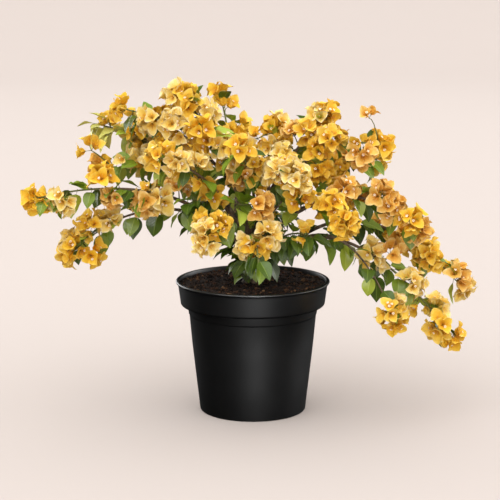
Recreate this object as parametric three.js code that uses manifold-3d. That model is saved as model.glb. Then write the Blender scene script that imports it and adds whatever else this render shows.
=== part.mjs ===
// A bougainvillea in flower, in the round black pot it grows in.
// Millimetres, +Z up. The front of the plant faces -Y and +X is on its right.
// The origin is the middle of the pot's flat underside.
import * as THREE from "three";
import { mergeVertices } from "three/addons/utils/BufferGeometryUtils.js";
import Module from "manifold-3d";

const wasm = await Module();
wasm.setup();
const { lerp, clamp, degToRad } = THREE.MathUtils;

// Driving dimensions of the pot
const GAP = 0.3; // between pieces that meet on the real plant
const POT_HEIGHT = 215;
const LIP_RADIUS = 125;
const LIP_HEIGHT = 5;
const LIP_ROUND = 2.2;
const BAND_HEIGHT = 40; // of the upright rim, its lip included
const BAND_TOP_RADIUS = 121.5;
const BAND_FOOT_RADIUS = 117.5;
const BAND_ROUND = 4;
const SHOULDER_RADIUS = 106; // of the body, just under the band
const STEP_DROP = 14; // the faint ring on the body lies this far under the band
const STEP_DEPTH = 1.2;
const FOOT_RADIUS = 86.5;
const FOOT_ROUND = 2;
const WALL = 2.6;
const FLOOR = 3;
const LEDGE_RISE = 3; // of the slope inside, from the body out to the band
const POT_SIDES = 32;
const DRAIN_HOLES = 6;
const DRAIN_RADIUS = 7;
const DRAIN_CIRCLE = 60;
const DRAIN_SIDES = 8;

// Driving dimensions of the soil and the trunk
const SOIL_DROP = 4; // from the lip down to the soil in the middle
const SOIL_SLOPE = 2; // the soil is this much lower at the wall
const SOIL_FLAT = 30; // radius of the level ground round the trunk
const TRUNK_HEIGHT = 88;
const TRUNK_LEAN = new THREE.Vector3(-9, 6, 0);
const TRUNK_FOOT_RADIUS = 11.5;
const TRUNK_TOP_RADIUS = 7.5;
const TRUNK_SIDES = 12;
const TRUNK_RINGS = 10;
const FLARE = 7; // what the root flare adds to the radius at the soil
const FLARE_REACH = 11;

// Driving dimensions of the canes
const BOUGH_SIDES = 6;
const BOUGH_RINGS = 3;
const STEM_SIDES = 4;
const STEM_RINGS = 5;
const CANE_TIP_RADIUS = 0.9;
const CANE_TAPER = 0.8; // under 1, a cane thins fastest near its root
const LIMB_CLEARANCE = 0.5; // a mass keeps this far from the trunk and the boughs
const INNER_RADIUS = 2.5; // of the stems that carry leaves all the way from the trunk
const INNER_LEAN = 0.5;

// Driving dimensions of the flowers. A bract's outline runs from one notch between two bracts to the next:
// degrees round the throat, distance out and rise of the cup.
const FLOWER_RADIUS = 26;
const FLOWER_DEPTH = 0.2; // of its radius, from its throat down to its base
const THROAT_RISE = 0.08;
const NOTCHES = [60, 180, 300];
const BRACT_OUTLINE = [
  [0, 0.36, 0.12],
  [30, 0.84, 0.62],
  [60, 1, 0.9],
  [90, 0.84, 0.62],
];
const TWIG_RADIUS = 1.3;
const TWIG_SWELL = 1.2; // a twig is this much thicker at its root
const TWIG_LONGEST = 44;
const TWIG_SHORTEST = 14;

// Driving dimensions of the leaves, as shares of their length after the first
const LEAF_LENGTH = 47;
const LEAF_HALF_WIDTH = 0.3;
const LEAF_WIDEST = 0.4; // this far along
const LEAF_FOLD = 0.075; // rise of its sides above its midrib
const LEAF_TIP_DROP = 0.08;
const LEAF_THICKNESS = 0.025;
const LEAF_DROOP = 0.8; // how far it hangs from the direction that it leaves its stem in

// How a mass grows
const NODE_SPACING = 20; // along a stem
const SPACE_RADIUS = 74; // furthest that a mass spreads from its stem
const SPACE_MARGIN = 0.8; // and it keeps this far inside the border of its space
const POT_CLEARANCE = 3; // from the flowers and leaves to the pot and the soil
const LEAFY_SHARE = 0.15; // no flower stands this near the start of a mass
const LEAFY_TIP = 0.6; // a cane with less bloom than this ends in leaves
const ATTEMPTS = 5; // ways that a twig or a leaf may turn to find room
const SHRINK = 0.08; // and how much smaller it is each time
const FLOWER_TURN = 0.9; // radians that a flower's twig turns each time
const FLOWER_FORWARD = 0.5;
const FLOWER_LIFT = 0.35;
const LEAF_TURN = 1.9;
const LEAF_FORWARD = 0.6;
const LEAF_LAG = 2; // radians round the stem from a flower to its leaf
const GOLDEN_ANGLE = Math.PI * (3 - Math.sqrt(5));
const SEEDS = 100; // set aside for each mass, one for each place along its stem
const LINE_STEPS = 14; // of the line that stands for a stem where spaces are measured
const UP = new THREE.Vector3(0, 0, 1);

// Each cane leaves the trunk, or the bough of another cane, at the fraction `at` of its length. It rises
// towards a crest, the height of its guide point, which is `lean` of the way out, and ends at its tip. The
// first part, up to the fraction `bare`, is the bough. The rest is the stem of a mass, whose share of flowers
// is `bloom`.
// Name, from, at, radius, tip, lean, crest, bare, bloom
const BOUGHED = [
  ["top_left", "trunk", 1, 6, [-117, 10, 508], 0.3, 450, 0.36, 0.9],
  ["left_high", "trunk", 0.64, 5, [-262, 80, 460], 0.35, 440, 0.36, 0.55],
  ["right_top", "trunk", 0.68, 5, [114, 10, 478], 0.4, 410, 0.4, 0.85],
  ["left_trail", "trunk", 0.42, 5, [-336, -50, 357], 0.32, 408, 0.3, 0.8],
  ["right_trail", "trunk", 0.34, 5, [314, -45, 138], 0.45, 372, 0.36, 0.8],
  ["front_left", "trunk", 0.5, 4, [-70, -128, 304], 0.5, 380, 0.36, 0.9],
  ["front_low", "trunk", 0.28, 4, [8, -150, 268], 0.5, 350, 0.32, 0.6],
  ["right_mid", "trunk", 0.5, 4.5, [258, -58, 312], 0.5, 422, 0.36, 0.9],
  ["back_left", "trunk", 0.36, 5, [-165, 190, 385], 0.4, 410, 0.32, 0.8],
  ["back_right", "trunk", 0.46, 5, [145, 210, 380], 0.4, 410, 0.32, 0.8],
  ["left_spray", "top_left", 0.2, 3.5, [-198, -15, 492], 0.45, 470, 0.36, 0.9],
  ["left_mid", "left_high", 0.24, 3.5, [-236, 20, 398], 0.5, 425, 0.34, 0.85],
  ["left_low", "left_trail", 0.22, 3.5, [-292, 0, 260], 0.5, 372, 0.36, 0.85],
  ["back_top", "top_left", 0.24, 3.5, [-52, 75, 502], 0.3, 440, 0.26, 0.85],
  ["front_top", "right_top", 0.12, 3.5, [-20, -112, 440], 0.3, 400, 0.26, 0.9],
  ["front_high", "front_left", 0.22, 3.5, [-140, -100, 425], 0.35, 400, 0.32, 0.9],
  ["front_right", "right_mid", 0.2, 3.5, [140, -122, 330], 0.45, 370, 0.32, 0.8],
  ["centre_right", "right_top", 0.2, 3.5, [66, -112, 395], 0.4, 410, 0.28, 0.9],
  ["centre_top", "right_top", 0.28, 3, [40, 55, 455], 0.3, 410, 0.2, 0.9],
  ["right_arch", "right_top", 0.34, 3, [200, -25, 438], 0.5, 455, 0.26, 0.75],
  ["right_high", "back_right", 0.2, 3.5, [200, 85, 400], 0.4, 410, 0.32, 0.9],
  ["right_low", "right_trail", 0.25, 3.5, [342, 45, 198], 0.45, 365, 0.34, 0.85],
  ["back_mid", "back_left", 0.2, 3.5, [-20, 250, 350], 0.4, 390, 0.3, 0.8],
  ["right_hang", "right_trail", 0.3, 3, [222, -85, 172], 0.55, 320, 0.68, 0.9],
  ["centre_left", "top_left", 0.18, 3, [-78, -58, 462], 0.3, 420, 0.3, 0.9],
];
// The canes with no bare part. Name, at, tip, crest, bloom
const INNER = [
  ["inner_left", 0.8, [-112, -62, 340], 385, 0.2],
  ["inner_right", 0.2, [92, -84, 298], 320, 0.1],
  ["inner_front", 0.75, [-26, -95, 345], 370, 0.1],
  ["inner_back", 0.26, [40, 130, 300], 345, 0.4],
  ["inner_low", 0.2, [-90, 60, 295], 330, 0.3],
  ["inner_foot", 0.16, [-10, -70, 258], 275, 0],
];

// Numbers from 0 to 1 that are the same on every run, by the mulberry32 rule
function seeded(seed) {
  let state = (seed * 2654435761) >>> 0;
  return () => {
    state = (state + 0x6d2b79f5) >>> 0;
    let mixed = Math.imul(state ^ (state >>> 15), state | 1);
    mixed ^= mixed + Math.imul(mixed ^ (mixed >>> 7), mixed | 61);
    return ((mixed ^ (mixed >>> 14)) >>> 0) / 2 ** 32;
  };
}

const between = (low, high, random) => lerp(low, high, random());

// Solids from geometries, and back
function solidOf(geometry) {
  const bare = geometry.clone();
  bare.deleteAttribute("normal");
  bare.deleteAttribute("uv");
  const merged = mergeVertices(bare, 1e-4);
  return new wasm.Manifold(
    new wasm.Mesh({
      numProp: 3,
      vertProperties: merged.attributes.position.array,
      triVerts: new Uint32Array(merged.index.array),
    }),
  );
}

function geometryOf(solid) {
  const mesh = solid.getMesh();
  const geometry = new THREE.BufferGeometry();
  geometry.setAttribute("position", new THREE.BufferAttribute(mesh.vertProperties, 3));
  geometry.setIndex(new THREE.BufferAttribute(mesh.triVerts, 1));
  geometry.computeVertexNormals();
  return geometry;
}

const largest = (solid) => solid.decompose().sort((a, b) => b.volume() - a.volume())[0];

function pointsGeometry(points, index) {
  const geometry = new THREE.BufferGeometry();
  const numbers = points.flatMap((point) => point.toArray());
  geometry.setAttribute("position", new THREE.Float32BufferAttribute(numbers, 3));
  return geometry.setIndex(index);
}

// A round solid about +Z from a profile of [radius, height] pairs
function turned(profile, sides) {
  const points = profile.map(([radius, height]) => new THREE.Vector2(radius, height));
  return new THREE.LatheGeometry(points, sides).rotateX(Math.PI / 2);
}

// Part of a round edge in a profile, from one angle in degrees to another
function arc(radius, height, round, from, to, steps) {
  return Array.from({ length: steps + 1 }, (_, i) => {
    const angle = degToRad(lerp(from, to, i / steps));
    return [radius + round * Math.cos(angle), height + round * Math.sin(angle)];
  });
}

// A closed tapering tube along part of a curve, which is a cylinder bent onto it. Past the curve's end, it
// runs straight on.
function tube(curve, from, to, radiusAt, sides, rings) {
  const geometry = new THREE.CylinderGeometry(1, 1, 1, sides, rings);
  const position = geometry.attributes.position;
  const steep = Math.abs(curve.getTangent(0).z) > 0.9;
  const reference = steep ? new THREE.Vector3(0, 1, 0) : UP;
  for (let i = 0; i < position.count; i++) {
    const t = lerp(from, to, position.getY(i) + 0.5);
    const onCurve = clamp(t, 0, 1);
    const along = curve.getTangent(onCurve);
    const side = new THREE.Vector3().crossVectors(along, reference).normalize();
    const over = new THREE.Vector3().crossVectors(side, along);
    const place = curve
      .getPoint(onCurve)
      .addScaledVector(along, (t - onCurve) * curve.getLength())
      .addScaledVector(side, position.getX(i) * radiusAt(t))
      .addScaledVector(over, position.getZ(i) * radiusAt(t));
    position.setXYZ(i, place.x, place.y, place.z);
  }
  return geometry;
}

// The pot
const bandFoot = POT_HEIGHT - BAND_HEIGHT;
const bandTop = POT_HEIGHT - LIP_HEIGHT;
const ledge = bandFoot + WALL;
const ledgeTop = ledge + LEDGE_RISE;
const bodyRadius = (height) => lerp(FOOT_RADIUS, SHOULDER_RADIUS, height / bandFoot);
const bandSlope = (BAND_TOP_RADIUS - BAND_FOOT_RADIUS) / (bandTop - ledgeTop);
const bandRadius = (height) => BAND_FOOT_RADIUS + bandSlope * (height - ledgeTop);

function potGeometry() {
  const step = bandFoot - STEP_DROP;
  const outside = [
    [0, 0],
    [FOOT_RADIUS - FOOT_ROUND, 0],
    [bodyRadius(FOOT_ROUND), FOOT_ROUND],
    [bodyRadius(step) - STEP_DEPTH, step - STEP_DEPTH],
    [bodyRadius(step), step],
    [SHOULDER_RADIUS, bandFoot],
    ...arc(BAND_FOOT_RADIUS - BAND_ROUND, bandFoot + BAND_ROUND, BAND_ROUND, -90, 0, 2),
    [BAND_TOP_RADIUS, bandTop],
    ...arc(LIP_RADIUS - LIP_ROUND, POT_HEIGHT - LIP_ROUND, LIP_ROUND, -60, 90, 3),
  ];
  const inside = [
    [bandRadius(bandTop) - WALL, bandTop],
    [BAND_FOOT_RADIUS - WALL, ledgeTop],
    [SHOULDER_RADIUS - WALL, ledge],
    [bodyRadius(FLOOR) - WALL, FLOOR],
    [0, FLOOR],
  ];
  const cup = solidOf(turned([...outside, ...inside], POT_SIDES));
  const holes = Array.from({ length: DRAIN_HOLES }, (_, i) => {
    const turn = (i / DRAIN_HOLES) * 2 * Math.PI;
    const drill = new THREE.CylinderGeometry(DRAIN_RADIUS, DRAIN_RADIUS, FLOOR * 4, DRAIN_SIDES);
    drill.rotateX(Math.PI / 2);
    drill.translate(DRAIN_CIRCLE * Math.cos(turn), DRAIN_CIRCLE * Math.sin(turn), 0);
    return solidOf(drill);
  });
  return geometryOf(holes.reduce((left, hole) => left.subtract(hole), cup));
}

// The soil, which fills the pot to just under its lip
const soilTop = POT_HEIGHT - SOIL_DROP;

function soilGeometry() {
  const inward = WALL + GAP;
  const edge = soilTop - SOIL_SLOPE;
  const profile = [
    [0, FLOOR + GAP],
    [bodyRadius(FLOOR) - inward, FLOOR + GAP],
    [SHOULDER_RADIUS - inward, ledge + GAP],
    [BAND_FOOT_RADIUS - inward, ledgeTop + GAP],
    [bandRadius(edge) - inward, edge],
    [SOIL_FLAT, soilTop],
    [0, soilTop],
  ];
  return turned(profile, POT_SIDES);
}

// The trunk, from its flat cut on the soil to its fork. It starts straight up, so that the cut is level.
const trunkFoot = new THREE.Vector3(0, 0, soilTop + GAP);
const trunkCurve = new THREE.QuadraticBezierCurve3(
  trunkFoot,
  new THREE.Vector3(0, 0, trunkFoot.z + TRUNK_HEIGHT / 2),
  new THREE.Vector3(0, 0, trunkFoot.z + TRUNK_HEIGHT).add(TRUNK_LEAN),
);

function trunkRadius(t) {
  const flare = FLARE * Math.exp((-t * TRUNK_HEIGHT) / FLARE_REACH);
  return lerp(TRUNK_FOOT_RADIUS, TRUNK_TOP_RADIUS, t) + flare;
}

// The trunk's tube, made thicker and longer by `extra`
function trunkTube(extra) {
  const top = 1 + extra / TRUNK_HEIGHT;
  return tube(trunkCurve, 0, top, (t) => trunkRadius(t) + extra, TRUNK_SIDES, TRUNK_RINGS);
}

// The canes, each with the curve that it follows, its radius along it, and the line that its stem follows
const canes = [];
const caneNamed = (name) => canes.find((cane) => cane.name === name);

function addCane(name, from, at, radius, tip, lean, crest, bare, bloom) {
  const parent = from === "trunk" ? null : caneNamed(from);
  const root = (parent ? parent.curve : trunkCurve).getPoint(at);
  const end = new THREE.Vector3(...tip);
  const guide = root.clone().lerp(end, lean).setZ(crest);
  const curve = new THREE.QuadraticBezierCurve3(root, guide, end);
  const radiusAt = (t) => lerp(radius, CANE_TIP_RADIUS, clamp(t, 0, 1) ** CANE_TAPER);
  const start = bare ? bare + GAP / curve.getLength() : 0;
  const line = Array.from({ length: LINE_STEPS + 1 }, (_, i) => {
    return curve.getPoint(lerp(start, 1, i / LINE_STEPS));
  });
  canes.push({ name, parent, curve, radiusAt, bare, start, bloom, line });
}

for (const row of BOUGHED) addCane(...row);
for (const [name, at, tip, crest, bloom] of INNER)
  addCane(name, "trunk", at, INNER_RADIUS, tip, INNER_LEAN, crest, 0, bloom);

// The tube of a cane's bough, made thicker by `extra`
function boughTube(cane, extra) {
  return tube(cane.curve, 0, cane.bare, (t) => cane.radiusAt(t) + extra, BOUGH_SIDES, BOUGH_RINGS);
}

// A limb is cut clear of the trunk or bough that it grows from
function clearOfParent(whole, cane) {
  const parentTube = cane.parent ? boughTube(cane.parent, GAP) : trunkTube(GAP);
  return largest(whole.subtract(solidOf(parentTube)));
}

// The stem of a mass, which goes on from its bough's tip or, with no bough, starts at the trunk
function stemSolid(cane) {
  const whole = solidOf(tube(cane.curve, cane.start, 1, cane.radiusAt, STEM_SIDES, STEM_RINGS));
  return cane.bare ? whole : clearOfParent(whole, cane);
}

// A flower on its three-sided twig: three cupped bracts round a throat at `end`, which face along `facing`
function flowerGeometry(root, end, facing, radius, cup, roll) {
  const turn = new THREE.Quaternion().setFromUnitVectors(UP, facing);
  const placed = (angle, out, rise) => {
    const around = roll + degToRad(angle);
    const point = new THREE.Vector3(Math.cos(around) * out, Math.sin(around) * out, rise);
    return point.applyQuaternion(turn).add(end);
  };
  const along = new THREE.Vector3().subVectors(end, root).normalize();
  const twigTop = NOTCHES.map((angle) => placed(angle, TWIG_RADIUS, -FLOWER_DEPTH * radius));
  const twigRoot = twigTop.map((point) => {
    const offset = new THREE.Vector3().subVectors(point, end).projectOnPlane(along);
    return root.clone().addScaledVector(offset.normalize(), TWIG_RADIUS * TWIG_SWELL);
  });
  const outline = NOTCHES.flatMap((angle) =>
    BRACT_OUTLINE.map(([step, out, rise]) => placed(angle + step, out * radius, rise * cup * radius)),
  );
  const throat = placed(0, 0, THROAT_RISE * radius);
  const points = [...twigRoot, ...twigTop, ...outline, throat];

  // Each third has two faces of its twig, five under its bract and four on it
  const rimStart = twigRoot.length + twigTop.length;
  const throatIndex = points.length - 1;
  const index = [0, 2, 1];
  for (let third = 0; third < 3; third++) {
    const next = (third + 1) % 3;
    const [foot, nextFoot] = [third + 3, next + 3];
    const rim = Array.from({ length: 5 }, (_, i) => rimStart + ((third * 4 + i) % outline.length));
    index.push(third, next, nextFoot, third, nextFoot, foot);
    index.push(foot, rim[1], rim[0], foot, rim[2], rim[1], foot, nextFoot, rim[2]);
    index.push(nextFoot, rim[3], rim[2], nextFoot, rim[4], rim[3]);
    for (let i = 0; i < 4; i++) index.push(rim[i], rim[i + 1], throatIndex);
  }
  return pointsGeometry(points, index);
}

// A leaf: a thin closed pointed blade from `root` along `towards`, folded a little up along its midrib, with
// its upper face to the sky
function leafGeometry(root, towards, length) {
  const side = new THREE.Vector3().crossVectors(UP, towards).normalize();
  const face = new THREE.Vector3().crossVectors(towards, side);
  const placed = (out, across, rise) =>
    root
      .clone()
      .addScaledVector(towards, out * length)
      .addScaledVector(side, across * length)
      .addScaledVector(face, rise * length);
  const ring = [
    placed(0, 0, 0),
    placed(LEAF_WIDEST, -LEAF_HALF_WIDTH, LEAF_FOLD),
    placed(1, 0, -LEAF_TIP_DROP),
    placed(LEAF_WIDEST, LEAF_HALF_WIDTH, LEAF_FOLD),
  ];
  const above = placed(LEAF_WIDEST, 0, LEAF_THICKNESS);
  const below = placed(LEAF_WIDEST, 0, -LEAF_THICKNESS);
  const index = ring.flatMap((_, i) => {
    const next = (i + 1) % ring.length;
    return [i, next, ring.length, next, i, ring.length + 1];
  });
  return pointsGeometry([...ring, above, below], index);
}

// The space of a mass is what lies nearer to its own stem than to any other
function distanceToLine(point, line) {
  const segment = new THREE.Line3();
  const nearest = new THREE.Vector3();
  return line.slice(1).reduce((least, end, i) => {
    segment.set(line[i], end).closestPointToPoint(point, true, nearest);
    return Math.min(least, nearest.distanceTo(point));
  }, Infinity);
}

function isClearOfPot(point) {
  return point.z > POT_HEIGHT + POT_CLEARANCE || Math.hypot(point.x, point.y) > LIP_RADIUS + POT_CLEARANCE;
}

function keepsToSpace(geometry, cane) {
  const position = geometry.attributes.position;
  for (let i = 0; i < position.count; i++) {
    const point = new THREE.Vector3().fromBufferAttribute(position, i);
    const own = distanceToLine(point, cane.line);
    if (own > SPACE_RADIUS || !isClearOfPot(point)) return false;
    const border = own + SPACE_MARGIN * 2;
    if (canes.some((other) => other !== cane && distanceToLine(point, other.line) < border)) return false;
  }
  return true;
}

// One mass: a stem, and flowers and leaves in a spiral along it. A piece that would leave the space of the
// mass, or touch a limb or any piece but the stem that it grows from, turns to find room. It is left out if
// it finds none.
function massSolid(cane, seed, limbs) {
  const { curve, start, bloom } = cane;
  const stem = stemSolid(cane);
  const sprays = [];

  const isAdded = (geometry) => {
    if (!keepsToSpace(geometry, cane)) return false;
    const solid = solidOf(geometry);
    if ([limbs, ...sprays].some((other) => !solid.intersect(other).isEmpty())) return false;
    sprays.push(solid);
    return true;
  };

  const addFlower = (root, towards, reach, shrink, random) => {
    const radius = FLOWER_RADIUS * shrink * between(0.85, 1.15, random);
    const end = root.clone().addScaledVector(towards, reach);
    const cup = between(0.35, 0.7, random);
    const roll = between(0, 2, random);
    return isAdded(flowerGeometry(root, end, towards, radius, cup, roll));
  };

  const addLeaf = (root, towards, shrink, random) => {
    const droop = LEAF_DROOP * between(0.6, 1.4, random);
    const hanging = towards.clone().addScaledVector(UP, -droop).normalize();
    return isAdded(leafGeometry(root, hanging, LEAF_LENGTH * shrink * between(0.75, 1.15, random)));
  };

  const count = Math.round((curve.getLength() * (1 - start)) / NODE_SPACING);
  for (let i = 0; i < count; i++) {
    const random = seeded(seed * SEEDS + i);
    const share = (i + 0.5) / count;
    const t = lerp(start, 1, share);
    const root = curve.getPoint(t);
    const along = curve.getTangent(t);
    const across = new THREE.Vector3().crossVectors(along, UP).normalize();
    const aimed = (turn, forward, lift) => {
      const out = across.clone().applyAxisAngle(along, turn);
      return out.addScaledVector(along, forward).addScaledVector(UP, lift).normalize();
    };
    const first = seed + i * GOLDEN_ANGLE;
    const reach = lerp(TWIG_LONGEST, TWIG_SHORTEST, share) * between(0.6, 1.2, random);
    const blooms = share > LEAFY_SHARE && random() < bloom;
    for (let attempt = 0; blooms && attempt < ATTEMPTS; attempt++) {
      const towards = aimed(first + attempt * FLOWER_TURN, FLOWER_FORWARD, FLOWER_LIFT);
      if (addFlower(root, towards, reach, 1 - attempt * SHRINK, random)) break;
    }
    let wanted = blooms ? 1 : 2;
    for (let attempt = 0; wanted && attempt < ATTEMPTS; attempt++) {
      const towards = aimed(first + LEAF_LAG + attempt * LEAF_TURN, LEAF_FORWARD, 0);
      if (addLeaf(root, towards, 1 - attempt * SHRINK, random)) wanted--;
    }
  }
  if (bloom > LEAFY_TIP) {
    const random = seeded((seed + 1) * SEEDS - 1);
    addFlower(curve.getPoint(1), curve.getTangent(1), TWIG_SHORTEST, 1, random);
  }
  return largest(wasm.Manifold.union([stem, ...sprays]));
}

// Materials
const finish = (color, roughness) => new THREE.MeshStandardMaterial({ color, roughness, metalness: 0 });
const potMaterial = finish(0x17181a, 0.3);
const soilMaterial = finish(0x2e211a, 0.95);
const barkMaterial = finish(0x6d5a45, 0.85);
const foliageMaterial = finish(0xe9a43a, 0.7);

// The whole plant
const plant = new THREE.Group();

function addPiece(name, geometry, material) {
  const mesh = new THREE.Mesh(geometry, material);
  mesh.name = name;
  plant.add(mesh);
}

addPiece("pot", potGeometry(), potMaterial);
addPiece("soil", soilGeometry(), soilMaterial);
addPiece("trunk", trunkTube(0), barkMaterial);

const boughed = canes.filter((cane) => cane.bare);
for (const cane of boughed) {
  const bough = clearOfParent(solidOf(boughTube(cane, 0)), cane);
  addPiece(`bough_${cane.name}`, geometryOf(bough), barkMaterial);
}

const thickened = [trunkTube(LIMB_CLEARANCE), ...boughed.map((cane) => boughTube(cane, LIMB_CLEARANCE))];
const limbs = wasm.Manifold.union(thickened.map(solidOf));
canes.forEach((cane, i) => {
  addPiece(`foliage_${cane.name}`, geometryOf(massSolid(cane, i + 1, limbs)), foliageMaterial);
});

export default plant;
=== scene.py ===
# The looks of a bougainvillea in its pot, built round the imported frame.
# Metres, +Z up. The front of the plant faces -Y and +X is on its right.
import math

import bpy
import numpy as np
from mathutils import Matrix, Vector, noise


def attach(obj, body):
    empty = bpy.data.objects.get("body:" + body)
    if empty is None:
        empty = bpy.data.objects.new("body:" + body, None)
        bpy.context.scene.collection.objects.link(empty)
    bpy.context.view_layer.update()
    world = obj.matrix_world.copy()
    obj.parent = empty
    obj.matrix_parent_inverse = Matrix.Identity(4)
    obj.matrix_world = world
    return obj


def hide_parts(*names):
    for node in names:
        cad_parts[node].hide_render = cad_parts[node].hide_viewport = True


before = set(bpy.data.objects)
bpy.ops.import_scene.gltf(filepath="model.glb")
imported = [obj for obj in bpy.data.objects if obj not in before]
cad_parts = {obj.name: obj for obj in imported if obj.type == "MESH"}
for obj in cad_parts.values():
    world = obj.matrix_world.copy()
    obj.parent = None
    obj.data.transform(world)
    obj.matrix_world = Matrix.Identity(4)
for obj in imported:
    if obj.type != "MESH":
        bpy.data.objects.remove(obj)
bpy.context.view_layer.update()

scene = bpy.context.scene
MM = 0.001
UP = np.array([0.0, 0.0, 1.0])
GOLDEN_ANGLE = math.pi * (3 - math.sqrt(5))
TRIANGLE_LIMIT = 190000  # of one joined piece

# The pot and the soil, as in the part's source
GAP = 0.3 * MM
POT_HEIGHT = 215 * MM
LIP_RADIUS = 125 * MM
LIP_HEIGHT = 5 * MM
LIP_ROUND = 2.2 * MM
BAND_HEIGHT = 40 * MM
BAND_TOP_RADIUS = 121.5 * MM
BAND_FOOT_RADIUS = 117.5 * MM
BAND_ROUND = 4 * MM
SHOULDER_RADIUS = 106 * MM
STEP_DROP = 14 * MM
STEP_DEPTH = 1.2 * MM
FOOT_RADIUS = 86.5 * MM
FOOT_ROUND = 2 * MM
WALL = 2.6 * MM
FLOOR = 3 * MM
LEDGE_RISE = 3 * MM
DRAIN_HOLES = 6
DRAIN_RADIUS = 7 * MM
DRAIN_CIRCLE = 60 * MM
SOIL_DROP = 4 * MM
SOIL_SLOPE = 2 * MM
SOIL_FLAT = 30 * MM

# The trunk, as in the part's source
TRUNK_HEIGHT = 88 * MM
TRUNK_LEAN = np.array([-9, 6, 0]) * MM
TRUNK_FOOT_RADIUS = 11.5 * MM
TRUNK_TOP_RADIUS = 7.5 * MM
FLARE = 7 * MM
FLARE_REACH = 11 * MM

# The canes and the rule by which their masses grow, as in the part's source
CANE_TIP_RADIUS = 0.9 * MM
CANE_TAPER = 0.8
INNER_RADIUS = 2.5 * MM
INNER_LEAN = 0.5
TWIG_LONGEST = 44 * MM
TWIG_SHORTEST = 14 * MM
LEAF_LENGTH = 47 * MM
LEAF_DROOP = 0.8
NODE_SPACING = 20 * MM
SPACE_RADIUS = 74 * MM
POT_CLEARANCE = 3 * MM
LEAFY_SHARE = 0.15
LEAFY_TIP = 0.6
ATTEMPTS = 5
FLOWER_TURN = 0.9
FLOWER_FORWARD = 0.5
FLOWER_LIFT = 0.35
LEAF_TURN = 1.9
LEAF_FORWARD = 0.6
LEAF_LAG = 2
SEEDS = 100
LINE_STEPS = 14
LENGTH_STEPS = 200

# What grows beside that rule
STEM_POINTS = 25
STEM_SIDES = 8
BROWN_SHARE = 0.55  # of a mass's stem, the part with bark
FINE_BLOOM = 0.4  # of the chance of a flower at a main place, at the finer ones between them
FINE_SIZE = 0.7  # of a main twig's length, a finer one's
FINE_LEAF = 0.85
FINE_SEEDS = 40  # added to a cane's number for draws of their own
BARE_SHARE = 0.35  # of the bare part of a cane, the lower share that has no leaf
BARE_SPACING = 22 * MM
BARE_SEEDS = 80
TWIG_SEEDS = 20000

# Name, from, at, radius, tip, lean, crest, bare, bloom, in millimetres
BOUGHED = [
    ("top_left", "trunk", 1, 6, (-117, 10, 508), 0.3, 450, 0.36, 0.9),
    ("left_high", "trunk", 0.64, 5, (-262, 80, 460), 0.35, 440, 0.36, 0.55),
    ("right_top", "trunk", 0.68, 5, (114, 10, 478), 0.4, 410, 0.4, 0.85),
    ("left_trail", "trunk", 0.42, 5, (-336, -50, 357), 0.32, 408, 0.3, 0.8),
    ("right_trail", "trunk", 0.34, 5, (314, -45, 138), 0.45, 372, 0.36, 0.8),
    ("front_left", "trunk", 0.5, 4, (-70, -128, 304), 0.5, 380, 0.36, 0.9),
    ("front_low", "trunk", 0.28, 4, (8, -150, 268), 0.5, 350, 0.32, 0.6),
    ("right_mid", "trunk", 0.5, 4.5, (258, -58, 312), 0.5, 422, 0.36, 0.9),
    ("back_left", "trunk", 0.36, 5, (-165, 190, 385), 0.4, 410, 0.32, 0.8),
    ("back_right", "trunk", 0.46, 5, (145, 210, 380), 0.4, 410, 0.32, 0.8),
    ("left_spray", "top_left", 0.2, 3.5, (-198, -15, 492), 0.45, 470, 0.36, 0.9),
    ("left_mid", "left_high", 0.24, 3.5, (-236, 20, 398), 0.5, 425, 0.34, 0.85),
    ("left_low", "left_trail", 0.22, 3.5, (-292, 0, 260), 0.5, 372, 0.36, 0.85),
    ("back_top", "top_left", 0.24, 3.5, (-52, 75, 502), 0.3, 440, 0.26, 0.85),
    ("front_top", "right_top", 0.12, 3.5, (-20, -112, 440), 0.3, 400, 0.26, 0.9),
    ("front_high", "front_left", 0.22, 3.5, (-140, -100, 425), 0.35, 400, 0.32, 0.9),
    ("front_right", "right_mid", 0.2, 3.5, (140, -122, 330), 0.45, 370, 0.32, 0.8),
    ("centre_right", "right_top", 0.2, 3.5, (66, -112, 395), 0.4, 410, 0.28, 0.9),
    ("centre_top", "right_top", 0.28, 3, (40, 55, 455), 0.3, 410, 0.2, 0.9),
    ("right_arch", "right_top", 0.34, 3, (200, -25, 438), 0.5, 455, 0.26, 0.75),
    ("right_high", "back_right", 0.2, 3.5, (200, 85, 400), 0.4, 410, 0.32, 0.9),
    ("right_low", "right_trail", 0.25, 3.5, (342, 45, 198), 0.45, 365, 0.34, 0.85),
    ("back_mid", "back_left", 0.2, 3.5, (-20, 250, 350), 0.4, 390, 0.3, 0.8),
    ("right_hang", "right_trail", 0.3, 3, (222, -85, 172), 0.55, 320, 0.68, 0.9),
    ("centre_left", "top_left", 0.18, 3, (-78, -58, 462), 0.3, 420, 0.3, 0.9),
]
# The canes with no bare part. Name, at, tip, crest, bloom
INNER = [
    ("inner_left", 0.8, (-112, -62, 340), 385, 0.2),
    ("inner_right", 0.2, (92, -84, 298), 320, 0.1),
    ("inner_front", 0.75, (-26, -95, 345), 370, 0.1),
    ("inner_back", 0.26, (40, 130, 300), 345, 0.4),
    ("inner_low", 0.2, (-90, 60, 295), 330, 0.3),
    ("inner_foot", 0.16, (-10, -70, 258), 275, 0),
]

# Main places that carry leaves alone, where the photo shows sky or leaves.
# Cane, and shares of its mass in percent
LEAFY_PLACES = {
    "inner_right": {68},
    "front_right": {30},
    "front_left": {25},
    "front_high": {35},
    "right_mid": {45},
    "right_high": {78},
    "right_hang": {16, 50},
    "right_arch": {64},
    "right_trail": {54, 62},
    "left_low": {31, 43},
    "left_mid": {21, 78},
    "left_high": {77, 95},
    "left_trail": {73},
    "centre_left": {90},
    "back_top": {58},
}
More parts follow.
